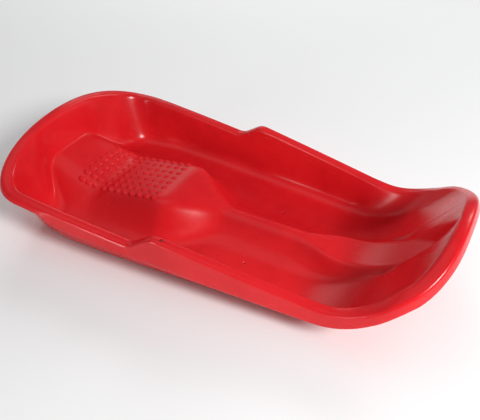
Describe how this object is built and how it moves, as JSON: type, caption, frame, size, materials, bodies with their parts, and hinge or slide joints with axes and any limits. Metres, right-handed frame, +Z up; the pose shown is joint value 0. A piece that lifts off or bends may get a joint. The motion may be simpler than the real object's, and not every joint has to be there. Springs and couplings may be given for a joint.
{
  "type": "snow sled",
  "caption": "Moulded tub snow sled with raised seat, foot wells, centre ridge fanning into an upturned nose, and a stepped, skirted rim.",
  "frame": {"origin": "middle of the bounding box, on the surface that the foot wells' undersides rest on", "axes": "+X towards the upturned nose, +Y towards the rider's left, +Z up"},
  "size_m": [0.824, 0.434, 0.179],
  "materials": {
    "shell": "glossy moulded polyethylene, through coloured red"
  },
  "bodies": {
    "root": {"backrest": "shell", "seat": "shell", "pommel": "shell", "centre_ridge": "shell", "nose_tongue": "shell", "backrest_flank_left": "shell", "backrest_flank_right": "shell", "seat_flank_left": "shell", "seat_flank_right": "shell", "ridge_flank_left": "shell", "ridge_flank_right": "shell", "tongue_flank_left": "shell", "tongue_flank_right": "shell", "heel_well_left": "shell", "heel_well_right": "shell", "foot_well_left": "shell", "foot_well_right": "shell", "front_ramp_left": "shell", "front_ramp_right": "shell", "tail_wall": "shell", "tail_corner_left": "shell", "tail_corner_right": "shell", "rear_wall_left": "shell", "rear_wall_right": "shell", "front_wall_left": "shell", "front_wall_right": "shell", "nose_cheek_left": "shell", "nose_cheek_right": "shell", "nose_corner_left": "shell", "nose_corner_right": "shell", "nose_wall": "shell", "tail_rim": "shell", "rear_rim_left": "shell", "rear_rim_right": "shell", "front_rim_left": "shell", "front_rim_right": "shell", "nose_rim_left": "shell", "nose_rim_right": "shell", "nose_rim": "shell"}
  },
  "joints": []
}
